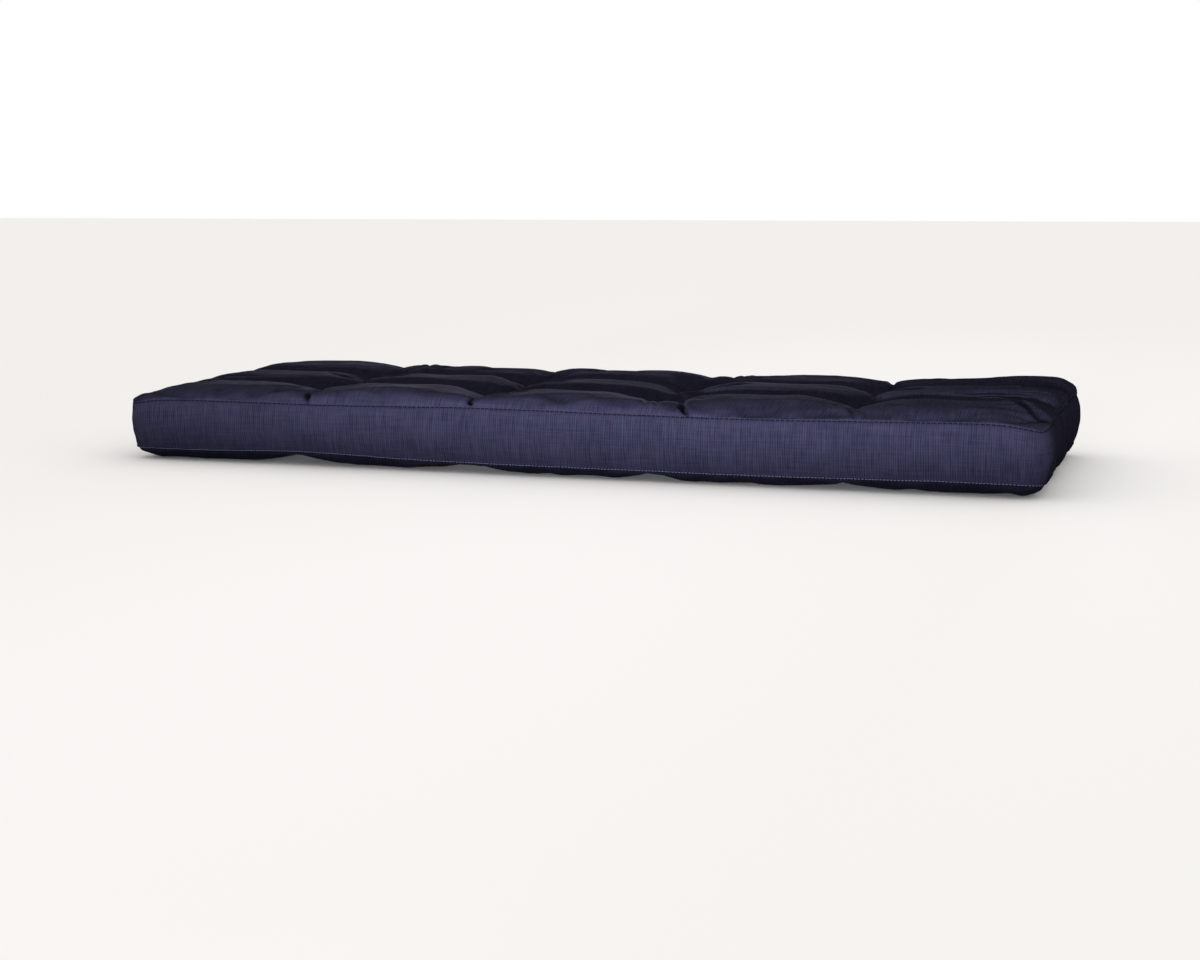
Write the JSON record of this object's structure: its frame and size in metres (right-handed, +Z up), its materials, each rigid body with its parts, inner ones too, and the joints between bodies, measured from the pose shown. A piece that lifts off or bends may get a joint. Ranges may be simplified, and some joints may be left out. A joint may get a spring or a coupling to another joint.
{
  "type": "bench cushion",
  "caption": "Long boxed seat cushion with blind tufts drawn right through it, soft crowned pillows between them, rounded corners and a topstitched upper seam.",
  "frame": {"origin": "on the surface the cushion lies on, under the middle of the cushion", "axes": "+X along the cushion to its right end seen from the front, +Y to its back edge, +Z up out of its top panel"},
  "size_m": [1.0915, 0.4364, 0.0974],
  "materials": {
    "navy_canvas": "matte rib-woven outdoor canvas"
  },
  "bodies": {
    "root": {"cushion": "navy_canvas"}
  },
  "joints": []
}
